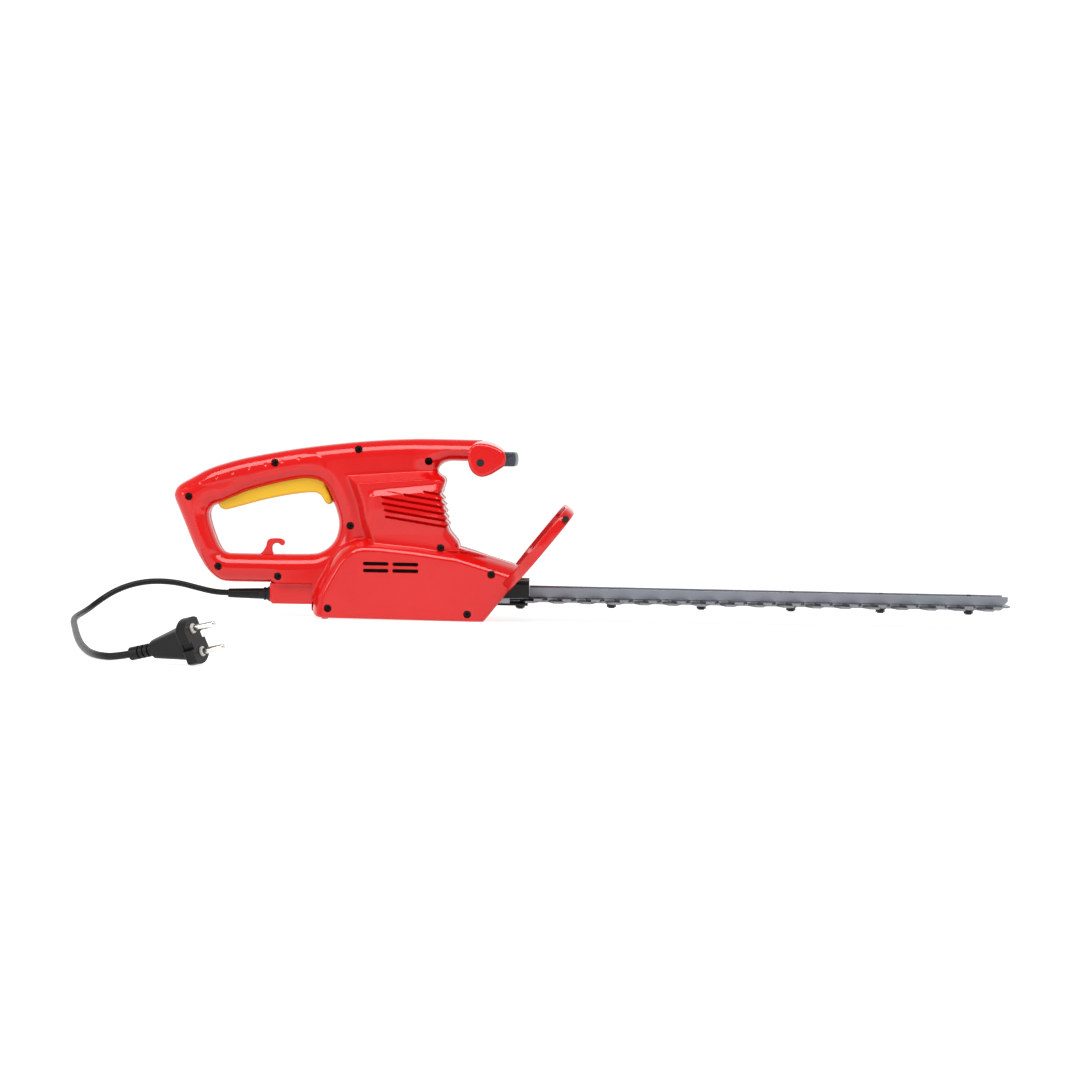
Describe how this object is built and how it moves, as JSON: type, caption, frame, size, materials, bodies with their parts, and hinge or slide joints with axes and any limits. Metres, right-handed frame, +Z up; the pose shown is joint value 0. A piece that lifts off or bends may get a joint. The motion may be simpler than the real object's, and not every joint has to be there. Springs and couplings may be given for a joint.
{
  "type": "hedge trimmer",
  "caption": "Corded electric hedge trimmer with a loop rear handle, cross-bar front handle, hand guard and long double-sided reciprocating blades",
  "frame": {"origin": "under the middle of the tool, on the surface it stands on; the cord and plug are left out of that middle", "axes": "+X runs along the blades to their tip, +Z is up, Y crosses the tool and Y = 0 is where the two shells meet; the cord and plug lie on the -Y side"},
  "size_m": [0.8712, 0.567, 0.1706],
  "materials": {
    "shell": "moulded red housing plastic, glossy",
    "guard": "moulded red guard plastic, glossy",
    "trigger": "yellow moulded trigger",
    "switch_bar": "slate grey moulded switch bar",
    "black_plastic": "black moulded plastic",
    "black_rubber": "black flexible sleeve",
    "cord_jacket": "black cord jacket",
    "black_steel": "blackened steel fasteners",
    "case": "black coated cast gear case",
    "zinc": "zinc plated screws and pins",
    "rail": "satin blue-grey steel rail",
    "blade": "ground tool steel blades",
    "guide": "grey steel guide plates and collars",
    "bronze": "sintered bronze bushes",
    "gear_steel": "hardened gear steel",
    "lamination": "laminated motor steel",
    "copper": "enamelled copper wire",
    "brass": "brass",
    "carbon": "carbon brush block",
    "nickel": "nickel plated plug pins",
    "collar_plastic": "pale pin collars",
    "fan_plastic": "dark fan plastic",
    "capfilm": "suppressor capacitor case"
  },
  "bodies": {
    "housing": {"left_housing_shell": "shell", "right_housing_shell": "shell", "housing_screws": "black_steel", "hand_guard": "guard", "guard_screws": "black_steel", "gear_case": "case", "guide_plates": "guide", "bottom_cover": "case", "case_screws": "black_steel", "crank_bushes": "bronze", "blade_rail": "rail", "guide_bolts": "black_steel", "guide_nuts": "black_steel", "guide_washers": "black_steel", "guide_collars": "guide", "lower_bearing": "gear_steel", "upper_bearing": "gear_steel", "stator_core": "lamination", "field_coils": "copper", "brush_plate": "black_plastic", "brush_holders": "brass", "carbon_brushes": "carbon", "trigger_pin": "zinc", "rear_switch": "black_plastic", "trigger_spring": "zinc", "front_switch": "black_plastic", "front_switch_springs": "zinc", "suppressor": "capfilm", "cord": "cord_jacket", "strain_relief": "black_rubber", "cord_clamp": "black_plastic", "clamp_screws": "zinc", "plug_body": "black_plastic", "plug_pins": "nickel", "plug_collars": "collar_plastic"},
    "rotor": {"armature_core": "lamination", "armature_coils": "copper", "commutator": "brass", "motor_shaft": "gear_steel", "cooling_fan": "fan_plastic", "motor_pinion": "gear_steel"},
    "crank": {"drive_gear": "gear_steel", "crankshaft": "gear_steel", "crank_clip": "zinc"},
    "upper_cutter": {"upper_blade": "blade"},
    "lower_cutter": {"lower_blade": "blade"},
    "trigger": {"rear_trigger": "trigger"},
    "trigger_plunger": {"rear_switch_plunger": "collar_plastic"},
    "switch_bar": {"front_switch_bar": "switch_bar"},
    "switch_bar_plunger": {"front_switch_plunger": "collar_plastic"}
  },
  "joints": [
    {"name": "rotor_spin", "type": "hinge", "parent": "housing", "child": "rotor", "pos_m": [-0.18, 0, 0.1], "axis": [0, 0, 1], "continuous": true},
    {"name": "crank_spin", "type": "hinge", "parent": "housing", "child": "crank", "pos_m": [-0.147, 0, 0.03], "axis": [0, 0, 1], "continuous": true},
    {"name": "upper_blade_slide", "type": "slide", "parent": "housing", "child": "upper_cutter", "axis": [1, 0, 0], "range_m": [-0.007, 0.007]},
    {"name": "lower_blade_slide", "type": "slide", "parent": "housing", "child": "lower_cutter", "axis": [1, 0, 0], "range_m": [-0.007, 0.007]},
    {"name": "trigger_squeeze", "type": "hinge", "parent": "housing", "child": "trigger", "pos_m": [-0.345, 0, 0.1145], "axis": [0, -1, 0], "range_deg": [0, 3.5], "stiffness_Nm_per_rad": 1.5, "springref_deg": -6.88, "deforming": ["trigger_spring"]},
    {"name": "trigger_plunger_slide", "type": "slide", "parent": "housing", "child": "trigger_plunger", "axis": [0, 0, 1], "range_m": [0, 0.0046]},
    {"name": "switch_bar_press", "type": "slide", "parent": "housing", "child": "switch_bar", "axis": [-1, 0, 0], "range_m": [0, 0.004], "stiffness_N_per_m": 900, "springref_m": -0.006, "deforming": ["front_switch_springs"]},
    {"name": "switch_bar_plunger_slide", "type": "slide", "parent": "housing", "child": "switch_bar_plunger", "axis": [-1, 0, 0], "range_m": [0, 0.004]}
  ],
  "couplings": [
    {"joint": "crank_spin", "follows": "rotor_spin", "ratio": -0.17857},
    {"joint": "lower_blade_slide", "follows": "upper_blade_slide", "ratio": -1},
    {"joint": "trigger_plunger_slide", "follows": "trigger_squeeze", "m_per_rad": 0.0724},
    {"joint": "switch_bar_plunger_slide", "follows": "switch_bar_press", "ratio": 1}
  ]
}
